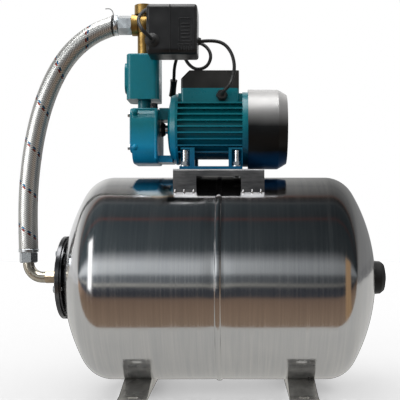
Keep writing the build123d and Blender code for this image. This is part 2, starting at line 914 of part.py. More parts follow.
with BuildPart() as switch_cover:
    switch_shell(switch_seam_x, switch_right_x)
    fillet(switch_cover.edges().group_by(Axis.X)[-1], radius=5)
    offset(amount=-switch_wall, openings=switch_cover.faces().sort_by(Axis.X)[0])
write(switch_cover, "switch_cover")

with BuildPart() as switch_grommet:
    with BuildSketch(Plane.XZ.offset(-switch_front_y)):
        with Locations((grommet_x, grommet_z)):
            Circle(9)
    extrude(amount=6, taper=15)
write(switch_grommet, "switch_grommet")

with BuildPart() as lead_grommet:
    with BuildSketch(Plane(origin=(switch_right_x, lead_exit_y, lead_exit_z), x_dir=(0, 1, 0), z_dir=(1, 0, 0))):
        Circle(7)
    extrude(amount=5, taper=15)
write(lead_grommet, "lead_grommet")

lever_x = -88
lever_y = -60
with BuildPart() as switch_plunger:
    with BuildSketch(Plane.XZ.offset(-switch_back_y + 1.5)):
        with Locations((plunger_x, port_z)):
            Circle(plunger_radius)
    extrude(amount=16)
write(switch_plunger, "switch_plunger")

with BuildPart() as contact_lever:
    with BuildSketch(Plane.XY.offset(port_z - 5)):
        with Locations(((plunger_x - 6 + lever_x) / 2, lever_y + 1.5)):
            Rectangle(lever_x - plunger_x + 6, 3)
        with Locations((lever_x, lever_y)):
            Circle(3.2)
            Circle(1.55, mode=Mode.SUBTRACT)
    extrude(amount=10)
write(contact_lever, "contact_lever")

with BuildPart() as contact_block:
    with BuildSketch(Plane.XY.offset(592)):
        with Locations((-102, -82)):
            Rectangle(30, 18)
    extrude(amount=62)
    for ear_z in (port_z - 8.6, port_z + 5.4):
        with BuildSketch(Plane.XY.offset(ear_z)):
            with Locations((lever_x, -67)):
                Rectangle(8, 20)
        extrude(amount=3.2)
    with BuildSketch(Plane.XY.offset(port_z - 7)):
        with Locations((lever_x, lever_y)):
            Circle(1.5)
    extrude(amount=14)
write(contact_block, "contact_block")

# Braided hose with its ferrules, union nuts and the elbow into the tank


def bend_radii(points):
    """The largest tangent arc at each corner that its two runs leave room for."""
    corners = [Vector(*point) for point in points]
    radii = []
    for before, corner, after in zip(corners, corners[1:], corners[2:]):
        run_in = corner - before
        run_out = after - corner
        turn = radians(run_in.get_angle(run_out))
        radii.append(0.45 * min(run_in.length, run_out.length) / tan(turn / 2))
    return radii


def tube(points, diameter):
    """A round tube along straight runs joined by tangent arcs."""
    with BuildLine(mode=Mode.PRIVATE) as route:
        path = FilletPolyline(*points, radius=bend_radii(points))
    with BuildSketch(Plane(origin=path @ 0, z_dir=path % 0), mode=Mode.PRIVATE) as section:
        Circle(diameter / 2)
    sweep(section.sketch, path=route.wires()[0])
    return route.wires()[0].length


def report_tube(label, piece, length, points, diameter):
    """Prints a tube's length, tightest radius and how its volume compares with its section."""
    section = 3.14159265 * diameter**2 / 4
    ratio = piece.part.volume / (section * length)
    radii = ", ".join(f"{radius / diameter:.1f}" for radius in bend_radii(points))
    print(f"{label}: length {length:.0f}, volume ratio {ratio:.4f}, radii in diameters: {radii}")


hose_start_x = -190
hose_end_z = 246
hose_points = [
    (hose_start_x, 0, port_z),
    (-215.7, 0, 642.7),
    (-242.5, 0, 627.2),
    (-266.7, 0, 606.2),
    (-287.6, 0, 579.4),
    (-307.3, 0, 542.3),
    (-324.4, 0, 495.3),
    (-337.9, 0, 436.9),
    (-346.7, 0, 365.4),
    (-348.6, 0, 299.5),
    (elbow_x, 0, hose_end_z),
]
with BuildPart() as hose:
    hose_length = tube(hose_points, hose_diameter)
write(hose, "hose")
report_tube("hose", hose, hose_length, hose_points, hose_diameter)

nut_radius = 16.5
hose_nut_start_x = -184
lower_nut_top_z = 240
lower_nut_bottom_z = 222
with BuildPart() as hose_ferrules:
    with BuildSketch(across(hose_start_x, port_z)):
        Circle(hose_diameter / 2 + 1)
    extrude(amount=hose_nut_start_x - hose_start_x)
    with BuildSketch(Plane.XY.offset(lower_nut_top_z)):
        with Locations((elbow_x, 0)):
            Circle(hose_diameter / 2 - 1)
    extrude(amount=hose_end_z - lower_nut_top_z)
write(hose_ferrules, "hose_ferrules")

with BuildPart() as hose_nuts:
    with BuildSketch(across(hose_nut_start_x, port_z)):
        RegularPolygon(nut_radius, 6)
    extrude(amount=side_port_start_x - hose_nut_start_x)
    with BuildSketch(Plane.XY.offset(lower_nut_bottom_z)):
        with Locations((elbow_x, 0)):
            RegularPolygon(nut_radius, 6, rotation=30)
    extrude(amount=lower_nut_top_z - lower_nut_bottom_z)
write(hose_nuts, "hose_nuts")

elbow_nut_start_x = -316
with BuildPart() as tank_elbow:
    with BuildLine() as elbow_route:
        FilletPolyline(
            (elbow_x, 0, lower_nut_bottom_z),
            (elbow_x, 0, tank_axis_z),
            (elbow_nut_start_x, 0, tank_axis_z),
            radius=elbow_bend - 1,
        )
    with BuildSketch(Plane.XY.offset(lower_nut_bottom_z)):
        with Locations((elbow_x, 0)):
            Circle(9.5)
    sweep(path=elbow_route.wires()[0])
write(tank_elbow, "tank_elbow")

with BuildPart() as elbow_nut:
    with BuildSketch(across(elbow_nut_start_x, tank_axis_z)):
        RegularPolygon(10.5, 6)
    extrude(amount=stub_end_x - elbow_nut_start_x)
write(elbow_nut, "elbow_nut")

# Leads: one from the switch to the motor, one that hangs behind the set to its coil and plug

motor_lead_points = [
    (switch_right_x + 5, lead_exit_y, lead_exit_z),
    (-14, -60, 609),
    (8, -62, 604),
    (22, -64, 586),
    (27, -66, 562),
    (23, -70, 542),
    (18, -79, 527),
    (6, -74, 517),
    (gland_x, gland_mouth_y, gland_z),
]
with BuildPart() as motor_lead:
    motor_lead_length = tube(motor_lead_points, lead_diameter)
write(motor_lead, "motor_lead")
report_tube("motor_lead", motor_lead, motor_lead_length, motor_lead_points, lead_diameter)

lead_rest_z = lead_diameter / 2 + 0.1
mains_lead_points = [
    (grommet_x, switch_front_y - 6, grommet_z),
    (-114, -116, 601),
    (-127, -124, 612),
    (-134, -108, 632),
    (-132, -84, 648),
    (-128, -58, 662),
    (-116, -34, 675),
    (-94, -24, 675),
    (-74, -22, 658),
    (-66, -22, 630),
    (-66, -24, 602),
    (-60, -26, 579),
    (-43, -28, 564),
    (-22, -30, 569),
    (-14, -28, 590),
    (-25, -21, 610),
    (-48, -10, 620),
    (-72, 0, 610),
    (-84, 10, 582),
    (-86, 24, 556),
    (-91, 44, 528),
    (-96, 68, 496),
    (-86, 86, 462),
    (-70, 98, 430),
    (-64, 108, 400),
    (-66, 119, 370),
    (-76, 139, 342),
    (-92, 166, 300),
    (-103, 186, 250),
    (-106, 198, 196),
    (-104, 203, 140),
    (-101, 208, 84),
    (-95, 214, 38),
    (-88, 221, 12),
    (-81, 240, lead_rest_z),
    (coil_centre[0] - coil_radius - lead_diameter / 2, coil_centre[1], lead_rest_z),
]
with BuildPart() as mains_lead:
    mains_lead_length = tube(mains_lead_points, lead_diameter)
write(mains_lead, "mains_lead")
report_tube("mains_lead", mains_lead, mains_lead_length, mains_lead_points, lead_diameter)

# The rest of the mains lead: three turns on the floor, tied off at the plug

plug_radius = 18
plug_axis_z = plug_radius + 0.1
tail_start = (coil_centre[0] + 8, coil_centre[1] + coil_radius - 1, 7)
tail_end = (coil_centre[0] + 34, coil_centre[1] + coil_radius + 2, plug_axis_z)
with BuildPart() as mains_coil:
    with BuildSketch(Plane.XY):
        with Locations(coil_centre):
            Circle(coil_radius + lead_diameter + 0.5)
            Circle(coil_radius - lead_diameter - 0.5, mode=Mode.SUBTRACT)
    extrude(amount=2 * lead_diameter)
    fillet(mains_coil.edges(), radius=3)
    with BuildLine():
        tail = Line(tail_start, tail_end)
    with BuildSketch(Plane(origin=tail @ 0, z_dir=tail % 0)):
        Circle(lead_diameter / 2)
    sweep(path=tail)
write(mains_coil, "mains_coil")

relief_length = 26
plug_length = 34
plug_pin_length = 19
plug_start_x = tail_end[0]
with BuildPart() as mains_plug:
    with BuildSketch(across(plug_start_x, plug_axis_z)):
        with Locations((tail_end[1], 0)):
            Circle(4)
    with BuildSketch(across(plug_start_x + relief_length, plug_axis_z)):
        with Locations((tail_end[1], 0)):
            Circle(8)
    loft()
    with BuildSketch(across(plug_start_x + relief_length, plug_axis_z)):
        with Locations((tail_end[1], 0)):
            Circle(plug_radius)
    extrude(amount=plug_length)
    with BuildSketch(across(plug_start_x + relief_length + plug_length, plug_axis_z)):
        with Locations((tail_end[1] - 9.5, 0), (tail_end[1] + 9.5, 0)):
            Circle(2.4)
    extrude(amount=plug_pin_length)
write(mains_plug, "mains_plug")
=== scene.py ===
import math

import bmesh
import bpy
import numpy as np
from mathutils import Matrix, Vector


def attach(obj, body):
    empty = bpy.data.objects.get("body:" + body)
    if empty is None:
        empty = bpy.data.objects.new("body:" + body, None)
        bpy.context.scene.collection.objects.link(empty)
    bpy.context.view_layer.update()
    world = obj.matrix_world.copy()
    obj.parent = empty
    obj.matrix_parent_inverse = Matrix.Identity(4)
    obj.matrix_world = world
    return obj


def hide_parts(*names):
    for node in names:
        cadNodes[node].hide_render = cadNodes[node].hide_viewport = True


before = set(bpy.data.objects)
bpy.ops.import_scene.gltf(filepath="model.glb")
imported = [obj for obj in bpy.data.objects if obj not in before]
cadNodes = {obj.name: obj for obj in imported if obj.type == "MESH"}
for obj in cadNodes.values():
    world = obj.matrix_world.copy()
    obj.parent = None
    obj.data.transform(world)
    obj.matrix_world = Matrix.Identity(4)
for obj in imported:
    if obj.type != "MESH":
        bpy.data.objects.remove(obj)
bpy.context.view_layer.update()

mm = 0.001
print("frame loaded:", len(cadNodes), "nodes")


# Camera: straight on, a little right of the middle, at the height of the tank's top
cameraSet = {
    "place": (0.034, -1.300, 0.295),
    "target": (0.034, 0.0, 0.295),
    "lens": 64.6,
    "shift": (-0.0975, 0.055),    # the view is framed a little left of and above the axis
}


def putCamera():
    data = bpy.data.cameras.new("studioCamera")
    data.lens = cameraSet["lens"]
    data.sensor_width = 36
    data.shift_x, data.shift_y = cameraSet["shift"]
    camera = bpy.data.objects.new("studioCamera", data)
    bpy.context.scene.collection.objects.link(camera)
    camera.location = cameraSet["place"]
    look = Vector(cameraSet["target"]) - Vector(cameraSet["place"])
    camera.rotation_euler = look.to_track_quat("-Z", "Y").to_euler()
    bpy.context.scene.camera = camera


putCamera()
bpy.context.scene.view_settings.view_transform = "Standard"     # paint and steel keep their own colours


# Small tools for materials

def finish(name, colour, roughness, metallic=0.0, **sockets):
    made = bpy.data.materials.new(name)
    made.use_nodes = True
    shader = made.node_tree.nodes["Principled BSDF"]
    shader.inputs["Base Color"].default_value = (*colour, 1)
    shader.inputs["Roughness"].default_value = roughness
    shader.inputs["Metallic"].default_value = metallic
    for socket, value in sockets.items():
        shader.inputs[socket.replace("_", " ")].default_value = value
    return made, made.node_tree, shader


def node(tree, kind, inputs=None, **settings):
    made = tree.nodes.new("ShaderNode" + kind)
    for key, value in settings.items():
        setattr(made, key, value)
    for key, value in (inputs or {}).items():
        socket = made.inputs[key]
        if hasattr(value, "is_output"):
            tree.links.new(value, socket)
        else:
            socket.default_value = value
    return made


def objectPlace(tree, stretch=(1, 1, 1)):
    # the piece's own object coordinates, stretched along each axis
    place = node(tree, "TexCoord").outputs["Object"]
    return node(tree, "Mapping", {"Vector": place, "Scale": stretch}).outputs["Vector"]


def noise(tree, vector, scale, detail=3.0, roughness=0.55):
    made = node(tree, "TexNoise", {"Vector": vector, "Scale": scale, "Detail": detail,
                                   "Roughness": roughness})
    return made.outputs["Fac"]


def ramp(tree, value, stops):
    made = node(tree, "ValToRGB", {"Fac": value})
    elements = made.color_ramp.elements
    elements[0].position, elements[0].color = stops[0][0], (*stops[0][1], 1)
    elements[1].position, elements[1].color = stops[-1][0], (*stops[-1][1], 1)
    for position, colour in stops[1:-1]:
        elements.new(position).color = (*colour, 1)
    return made.outputs["Color"]


def spread(tree, value, low, high, fromLow=0.0, fromHigh=1.0):
    made = node(tree, "MapRange", {"Value": value, "From Min": fromLow, "From Max": fromHigh,
                                   "To Min": low, "To Max": high})
    return made.outputs["Result"]


def sums(tree, operation, first, second=0.0, third=0.0):
    made = node(tree, "Math", operation=operation)
    for socket, value in zip(made.inputs, (first, second, third)):
        if hasattr(value, "is_output"):
            tree.links.new(value, socket)
        else:
            socket.default_value = value
    return made.outputs["Value"]


def mixed(tree, amount, first, second, blend="MIX"):
    made = node(tree, "Mix", data_type="RGBA", blend_type=blend)
    for socket, value in zip((made.inputs[0], made.inputs[6], made.inputs[7]), (amount, first, second)):
        if hasattr(value, "is_output"):
            tree.links.new(value, socket)
        else:
            socket.default_value = value if isinstance(value, float) else (*value, 1)
    return made.outputs[2]


def bump(tree, shader, height, strength, depth):
    made = node(tree, "Bump", {"Height": height, "Strength": strength, "Distance": depth})
    tree.links.new(made.outputs["Normal"], shader.inputs["Normal"])


def grey(level):
    return (level, level, level)


# Finishes

steelSet = {
    "polished": (0.60, 0.60, 0.61),
    "brushRough": (0.07, 0.20),     # the clearest and the dullest streak
}


def polishedSteel():
    # mirror steel brushed round the tank: noise that changes fast along X and slowly round it
    made, tree, shader = finish("polishedTankSteel", steelSet["polished"], 0.12, 1.0)
    across = objectPlace(tree, (900, 9, 9))
    fine = noise(tree, across, 1.0, 4.0, 0.65)
    broad = noise(tree, objectPlace(tree, (160, 5, 5)), 1.0, 2.0)
    smudge = noise(tree, objectPlace(tree, (6, 9, 9)), 1.0, 3.0)
    streak = sums(tree, "MULTIPLY", fine, broad)
    low, high = steelSet["brushRough"]
    tree.links.new(spread(tree, streak, low, high, 0.12, 0.42), shader.inputs["Roughness"])
    tone = ramp(tree, sums(tree, "MULTIPLY_ADD", streak, 0.7, sums(tree, "MULTIPLY", smudge, 0.3)),
                [(0.2, (0.50, 0.505, 0.52)), (0.5, (0.64, 0.635, 0.63))])
    tree.links.new(tone, shader.inputs["Base Color"])
    bump(tree, shader, fine, 0.10, 0.0004)
    return made


def rolledSteel(name, dark, light, grainScale, rough):
    # plate with the mill's grain, darker smudges and a faint orange-peel
    made, tree, shader = finish(name, light, rough, 0.85)
    grain = noise(tree, objectPlace(tree, grainScale), 1.0, 4.0, 0.6)
    smudge = noise(tree, objectPlace(tree, (22, 22, 22)), 1.0, 3.0)
    amount = sums(tree, "MULTIPLY_ADD", grain, 0.6, sums(tree, "MULTIPLY", smudge, 0.4))
    tree.links.new(ramp(tree, amount, [(0.35, dark), (0.65, light)]), shader.inputs["Base Color"])
    tree.links.new(spread(tree, smudge, rough - 0.08, rough + 0.12, 0.3, 0.7), shader.inputs["Roughness"])
    bump(tree, shader, grain, 0.15, 0.0003)
    return made


def enamel(name, top, low, paintedLightHeights, rough, cast, metallic=0.0, coat=0.10, middle=None, patchy=0.35, flecks=0.5):
    # sprayed paint on a casting: a lumpy skin, pale flecks, and a colour that turns from low to top
    # (through middle, where there is one) between two given heights: painted light and shade by height
    made, tree, shader = finish(name, top, rough, metallic, Coat_Weight=coat, Coat_Roughness=0.16,
                                Specular_IOR_Level=0.25)
    place = objectPlace(tree)
    height = node(tree, "SeparateXYZ", {"Vector": place}).outputs["Z"]
    # painted light and shade: the colour follows height, not the paint
    rise = spread(tree, height, 0.0, 1.0, *paintedLightHeights)
    patch = noise(tree, objectPlace(tree, (35, 35, 35)), 1.0, 4.0)
    rise = sums(tree, "MULTIPLY_ADD", sums(tree, "SUBTRACT", patch, 0.5), patchy, rise)
    stops = [(0.0, low), (0.25, middle), (0.55, middle), (0.92, top)] if middle else [(0.0, low), (1.0, top)]
    colour = ramp(tree, rise, stops)
    fleck = noise(tree, objectPlace(tree, (420, 420, 420)), 1.0, 2.0)
    pale = tuple(min(1.0, 0.04 + 1.35 * c) for c in top)
    colour = mixed(tree, spread(tree, fleck, 0.0, flecks, 0.66, 0.78), colour, pale)
    tree.links.new(colour, shader.inputs["Base Color"])
    skin = sums(tree, "MULTIPLY_ADD", noise(tree, objectPlace(tree, (260, 260, 260)), 1.0, 3.0), 0.6,
                sums(tree, "MULTIPLY", patch, 0.8))
    tree.links.new(spread(tree, patch, rough - 0.07, rough + 0.12, 0.3, 0.7), shader.inputs["Roughness"])
    bump(tree, shader, skin, cast, 0.0009)
    return made


def moulded(name, colour, rough, grain=900, strength=0.18):
    # moulded plastic: spark-eroded grain, slight sink marks and worn shine
    made, tree, shader = finish(name, colour, rough, Specular_IOR_Level=0.28)
    fine = noise(tree, objectPlace(tree, (grain, grain, grain)), 1.0, 2.0)
    sink = noise(tree, objectPlace(tree, (28, 28, 28)), 1.0, 2.0)
    lighter = tuple(1.5 * c + 0.006 for c in colour)
    tree.links.new(ramp(tree, sink, [(0.3, colour), (0.72, lighter)]), shader.inputs["Base Color"])
    tree.links.new(spread(tree, sink, rough - 0.06, rough + 0.10, 0.3, 0.7), shader.inputs["Roughness"])
    bump(tree, shader, fine, strength, 0.0003)
    return made


def plated(name, dark, light, rough, turned=(60, 60, 60), strength=0.08):
    # machined and plated metal: turning marks, a little tarnish
    made, tree, shader = finish(name, light, rough, 1.0)
    marks = noise(tree, objectPlace(tree, turned), 1.0, 3.0)
    stain = noise(tree, objectPlace(tree, (70, 70, 70)), 1.0, 4.0)
    tree.links.new(ramp(tree, stain, [(0.32, dark), (0.62, light)]), shader.inputs["Base Color"])
    tree.links.new(spread(tree, stain, rough + 0.12, rough - 0.04, 0.3, 0.7), shader.inputs["Roughness"])
    bump(tree, shader, marks, strength, 0.0004)
    return made


def plugFinish(edgeX):
    # black rubber body, nickel pins past edgeX
    made, tree, shader = finish("plugRubberAndPins", (0.012, 0.012, 0.013), 0.5)
    along = node(tree, "SeparateXYZ", {"Vector": objectPlace(tree)}).outputs["X"]
    pin = sums(tree, "GREATER_THAN", along, edgeX)
    fine = noise(tree, objectPlace(tree, (500, 500, 500)), 1.0, 2.0)
    rubber = ramp(tree, fine, [(0.3, (0.009, 0.009, 0.010)), (0.7, (0.022, 0.022, 0.023))])
    tree.links.new(mixed(tree, pin, rubber, (0.75, 0.71, 0.62)), shader.inputs["Base Color"])
    tree.links.new(pin, shader.inputs["Metallic"])
    tree.links.new(spread(tree, pin, 0.5, 0.25), shader.inputs["Roughness"])
    bump(tree, shader, fine, 0.15, 0.0003)
    return made


braidSet = {
    "carriers": 20,       # strands wound each way
    "pitch": 0.076,       # metres of hose for one turn of a strand
    "wires": 5,           # wires in a strand
    "crown": 0.00034,     # height of a strand over its crossing
    "tracers": ((3, (0.015, 0.09, 0.17)), (4, (0.17, 0.03, 0.02))),
}


def braidFinish():
    # UV holds (turns round, pitches along); strands follow constant u + v and u - v, two over and two under
    made, tree, shader = finish("steelBraid", (0.70, 0.70, 0.69), 0.34, 0.88)
    uv = node(tree, "SeparateXYZ", {"Vector": node(tree, "UVMap", uv_map="braid").outputs["UV"]})
    count = float(braidSet["carriers"])
    rising = sums(tree, "MULTIPLY", sums(tree, "ADD", uv.outputs["X"], uv.outputs["Y"]), count)
    falling = sums(tree, "MULTIPLY", sums(tree, "SUBTRACT", uv.outputs["X"], uv.outputs["Y"]), count)
    step = sums(tree, "ADD", sums(tree, "FLOOR", rising), sums(tree, "FLOOR", falling))
    over = sums(tree, "LESS_THAN", sums(tree, "FLOORED_MODULO", step, 4.0), 1.5)
    wireA = sums(tree, "PINGPONG", sums(tree, "MULTIPLY", rising, float(braidSet["wires"])), 0.5)
    wireB = sums(tree, "PINGPONG", sums(tree, "MULTIPLY", falling, float(braidSet["wires"])), 0.5)
    wire = sums(tree, "ADD", sums(tree, "MULTIPLY", wireA, over),
                sums(tree, "MULTIPLY", wireB, sums(tree, "SUBTRACT", 1.0, over)))
    gapA = sums(tree, "PINGPONG", rising, 0.5)
    gapB = sums(tree, "PINGPONG", falling, 0.5)
    gap = sums(tree, "ADD", sums(tree, "MULTIPLY", gapA, over),
               sums(tree, "MULTIPLY", gapB, sums(tree, "SUBTRACT", 1.0, over)))
    # painted shade: the colour falls nearly to black in the creases where strands meet, and darker between
    # wires
    colour = ramp(tree, gap, [(0.0, (0.04, 0.04, 0.042)), (0.22, (0.48, 0.48, 0.46)),
                              (0.5, (0.76, 0.76, 0.74))])
    colour = mixed(tree, spread(tree, wire, 0.35, 0.0, 0.0, 0.25), colour, (0.28, 0.28, 0.28))
    index = sums(tree, "FLOORED_MODULO", sums(tree, "FLOOR", rising), count)
    for number, thread in braidSet["tracers"]:
        here = sums(tree, "COMPARE", index, float(number), 0.5)
        here = sums(tree, "MULTIPLY", here, over)
        colour = mixed(tree, here, colour, thread)
    tree.links.new(colour, shader.inputs["Base Color"])
    tree.links.new(spread(tree, gap, 0.50, 0.32, 0.0, 0.25), shader.inputs["Roughness"])
    bump(tree, shader, wire, 0.35, 0.0003)
    return made


finishes = {
    "tank": polishedSteel(),
    "plate": rolledSteel("rolledStainlessPlate", (0.075, 0.075, 0.078), (0.17, 0.17, 0.172),
                         (40, 220, 220), 0.38),
    "foot": rolledSteel("pressedStainlessFoot", (0.42, 0.41, 0.39), (0.74, 0.73, 0.70), (90, 60, 90), 0.28),
    "flange": rolledSteel("darkFlangeSteel", (0.035, 0.037, 0.04), (0.13, 0.13, 0.135), (50, 50, 50), 0.22),
    # painted light by height: the teal paint is paler and bluer low down (painted bluish light), the smooth
    # teal darker and bluer low down (painted bluish shade)
    "teal": enamel("tealEnamel", (0.0, 0.128, 0.160), (0.0, 0.230, 0.460), (0.395, 0.465), 0.32, 0.42),
    "tealSmooth": enamel("tealEnamelSmooth", (0.0, 0.128, 0.155), (0.0, 0.080, 0.170), (0.40, 0.47),
                         0.28, 0.14),
    # the fan cover's pale top is a painted highlight and its blue bottom painted bluish light, over a
    # near-black middle
    "cover": enamel("graphiteFanCover", (0.34, 0.335, 0.33), (0.0, 0.110, 0.330), (0.385, 0.520), 0.38, 0.05,
                    metallic=0.30, coat=0.0, middle=(0.006, 0.0065, 0.007), patchy=0.03, flecks=0.02),
    "black": moulded("blackMouldedPlastic", (0.006, 0.006, 0.0065), 0.34),
    "lid": moulded("mattBlackLid", (0.011, 0.0105, 0.010), 0.50),
    "rubber": moulded("blackRubber", (0.010, 0.010, 0.010), 0.46, 500, 0.12),
    "zinc": plated("brightZinc", (0.42, 0.44, 0.46), (0.66, 0.69, 0.71), 0.24, (90, 90, 400)),
    "bright": plated("brightSteel", (0.50, 0.50, 0.51), (0.72, 0.72, 0.72), 0.22, (400, 60, 60)),
    "brass": plated("dullBrass", (0.17, 0.10, 0.03), (0.31, 0.20, 0.065), 0.34, (50, 50, 260)),
    "nickel": plated("nickelledBrass", (0.30, 0.27, 0.22), (0.55, 0.51, 0.43), 0.26, (120, 120, 120)),
    "bronze": plated("brownedNut", (0.30, 0.24, 0.17), (0.48, 0.40, 0.30), 0.30, (200, 60, 60)),
    "copper": plated("windingCopper", (0.35, 0.13, 0.05), (0.68, 0.30, 0.15), 0.30, (60, 500, 500), 0.3),
    "laminations": plated("laminatedSteel", (0.20, 0.20, 0.20), (0.34, 0.34, 0.34), 0.40,
                          (1800, 30, 30), 0.3),
    "cream": moulded("creamPlastic", (0.55, 0.50, 0.40), 0.45),
    "braid": braidFinish(),
    "plug": plugFinish(0.0545),
}
print("finishes made:", len(finishes))

nodeFinish = {
    "tank_neck_ring": "flange", "tank_flange": "flange", "flange_bolts": "zinc", "bladder": "rubber",
    "air_valve_stem": "brass", "air_valve_pin": "brass", "air_valve_cap": "rubber",
    "foot_left": "foot", "foot_right": "foot", "pump_platform": "plate",
    "stator_housing": "tealSmooth", "mount_bolts": "zinc", "stator_core": "laminations",
    "stator_windings": "copper", "rotor_core": "laminations", "motor_shaft": "bright",
    "front_bearing": "bright", "rear_bearing": "bright", "rear_end_shield": "tealSmooth", "fan": "black",
    "fan_cover": "cover", "terminal_base": "tealSmooth", "terminal_lid": "lid", "terminal_block": "cream",
    "capacitor": "cream", "cable_gland": "rubber", "lantern_bracket": "teal", "pump_casing": "teal",
    "priming_plug": "black", "casing_cover": "teal", "cover_bolts": "zinc", "impeller": "brass",
    "impeller_nut": "brass", "seal_seat": "cream", "seal_face": "black", "shaft_slinger": "rubber",
    "five_way_fitting": "brass", "gauge_port_plug": "brass", "switch_elbow": "brass", "switch_nut": "brass",
    "switch_base": "black", "switch_cover": "black", "lead_grommet": "rubber", "switch_plunger": "bright",
    "contact_lever": "copper", "contact_block": "cream", "tank_elbow": "nickel", "mains_plug": "plug",
}
for name, key in nodeFinish.items():
    mesh = cadNodes[name].data
    mesh.materials.clear()
    mesh.materials.append(finishes[key])
print("carried-over nodes finished:", len(nodeFinish))


# Small tools for surfaces

def sheetFaces(rows, cols, closedPath, offset):
    # quads between neighbouring rows and columns; the last column joins the first
    i = np.arange(rows if closedPath else rows - 1)[:, None]
    j = np.arange(cols)[None, :]
    below, above, right = i * cols, ((i + 1) % rows) * cols, (j + 1) % cols
    quads = np.stack([below + j, below + right, above + right, above + j], -1).reshape(-1, 4) + offset
    faces = quads.tolist()
    if not closedPath:
        faces.append((np.arange(cols)[::-1] + offset).tolist())
        faces.append((np.arange(cols) + (rows - 1) * cols + offset).tolist())
    return faces


def piece(name, grids, finishKey, replaced=(), body="frame", sharp=40, closedPath=False, uv=None):
    # grids: arrays of points [step along, step round], each its own closed skin in the one mesh
    points = np.concatenate([g.reshape(-1, 3) for g in grids])
    faces, offset = [], 0
    for g in grids:
        faces += sheetFaces(g.shape[0], g.shape[1], closedPath, offset)
        offset += g.shape[0] * g.shape[1]
    mesh = bpy.data.meshes.new(name)
    mesh.from_pydata(points.tolist(), [], faces)
    if uv is None:
        work = bmesh.new()
        work.from_mesh(mesh)
        bmesh.ops.remove_doubles(work, verts=work.verts, dist=1e-6)
        bmesh.ops.dissolve_degenerate(work, edges=work.edges, dist=1e-7)
        bmesh.ops.recalc_face_normals(work, faces=work.faces)
        work.to_mesh(mesh)
        work.free()
    else:
        uvName, uvGrid = uv
        layer = mesh.uv_layers.new(name=uvName)
        corners = np.zeros(len(mesh.loops), np.int32)
        mesh.loops.foreach_get("vertex_index", corners)
        flat = uvGrid.reshape(-1, 2)[corners]
        quadCount = (uvGrid.shape[0] - 1) * uvGrid.shape[1]
        seam = flat[:quadCount * 4].reshape(-1, 4, 2)
        wrapped = (seam[:, :, 0].max(1) - seam[:, :, 0].min(1)) > 0.5
        seam[:, :, 0] = np.where(wrapped[:, None] & (seam[:, :, 0] < 0.5), seam[:, :, 0] + 1, seam[:, :, 0])
        layer.data.foreach_set("uv", flat.ravel().astype(np.float32))
    mesh.polygons.foreach_set("use_smooth", np.ones(len(mesh.polygons), bool))
    mesh.set_sharp_from_angle(angle=math.radians(sharp))
    mesh.materials.append(finishes[finishKey])
    made = bpy.data.objects.new(name, mesh)
    bpy.context.scene.collection.objects.link(made)
    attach(made, body)
    if replaced:
        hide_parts(*replaced)
    return made


axes = {"X": (0, 1, 2), "Y": (1, 2, 0), "Z": (2, 0, 1)}


def turnedOn(axis, centre, profile, steps=64):
    # profile rows are (along, radius): point = centre + along * axis + radius * (cos a, sin a) across it
    profile = np.asarray(profile, float)
    angle = np.linspace(0, 2 * np.pi, steps, endpoint=False)
    grid = np.zeros((len(profile), steps, 3))
    along, first, second = axes[axis]
    grid[..., along] = profile[:, :1]
    grid[..., first] = profile[:, 1:] * np.cos(angle)
    grid[..., second] = profile[:, 1:] * np.sin(angle)
    return grid + np.asarray(centre, float)


def hexOn(axis, centre, start, end, corner, turn=0.0, chamfer=0.0016, steps=96):
    # a nut: at each angle the radius is the lesser of the hexagon's and of a cone that trims its corners
    angle = np.linspace(0, 2 * np.pi, steps, endpoint=False)
    flat = corner * math.cos(math.pi / 6)
    hexagon = flat / np.cos((angle + turn) % (np.pi / 3) - np.pi / 6)
    slope = np.linspace(0, 1, 6)
    along = np.concatenate([[start], start + slope * chamfer, end - slope[::-1] * chamfer, [end]])
    rise = np.concatenate([slope, slope[::-1]])
    cone = np.concatenate([[0], flat * 0.965 + rise * (corner - flat * 0.965), [0]])
    radius = np.minimum(hexagon[None, :], cone[:, None])
    grid = np.zeros((len(along), steps, 3))
    main, first, second = axes[axis]
    grid[..., main] = along[:, None]
    grid[..., first] = radius * np.cos(angle)
    grid[..., second] = radius * np.sin(angle)
    return grid + np.asarray(centre, float)


def softBar(low, high, corner, axis="X"):
    # a bar with rounded edges: a rounded-rectangle section carried along one axis and drawn in at both ends
    low, high = np.asarray(low, float), np.asarray(high, float)
    main, first, second = axes[axis]
    middle, half = (low + high) / 2, (high - low) / 2
    quarter = np.linspace(0, np.pi / 2, 5)
    angle = np.concatenate([quarter, quarter + np.pi / 2, quarter + np.pi, quarter + 1.5 * np.pi])
    signA = np.repeat([1, -1, -1, 1], 5)
    signB = np.repeat([1, 1, -1, -1], 5)
    fall = np.linspace(0, np.pi / 2, 5)
    inset = corner * (1 - np.sin(fall))
    start = low[main] + corner * (1 - np.cos(fall))
    along = np.concatenate([[low[main]], start, (low[main] + high[main] - start)[::-1], [high[main]]])
    edge = corner - np.concatenate([[0], inset, inset[::-1], [0]])[:, None]
    full = np.ones((len(along), 1))
    full[[0, -1]] = 0       # both ends close on the axis
    grid = np.zeros((len(along), len(angle), 3))
    grid[..., main] = along[:, None]
    grid[..., first] = middle[first] + full * (signA * (half[first] - corner) + edge * np.cos(angle))
    grid[..., second] = middle[second] + full * (signB * (half[second] - corner) + edge * np.sin(angle))
    return grid


def bead(centre, radii, steps=18):
    # an ellipsoid: each point is the centre plus the three radii times a point of the unit sphere
    tilt = np.linspace(0, np.pi, 10)[:, None]
    angle = np.linspace(0, 2 * np.pi, steps, endpoint=False)[None, :]
    girth = np.sin(tilt)
    ball = np.stack([np.cos(tilt) + 0 * angle, girth * np.cos(angle), girth * np.sin(angle)], -1)
    return np.asarray(centre) + ball * np.asarray(radii)


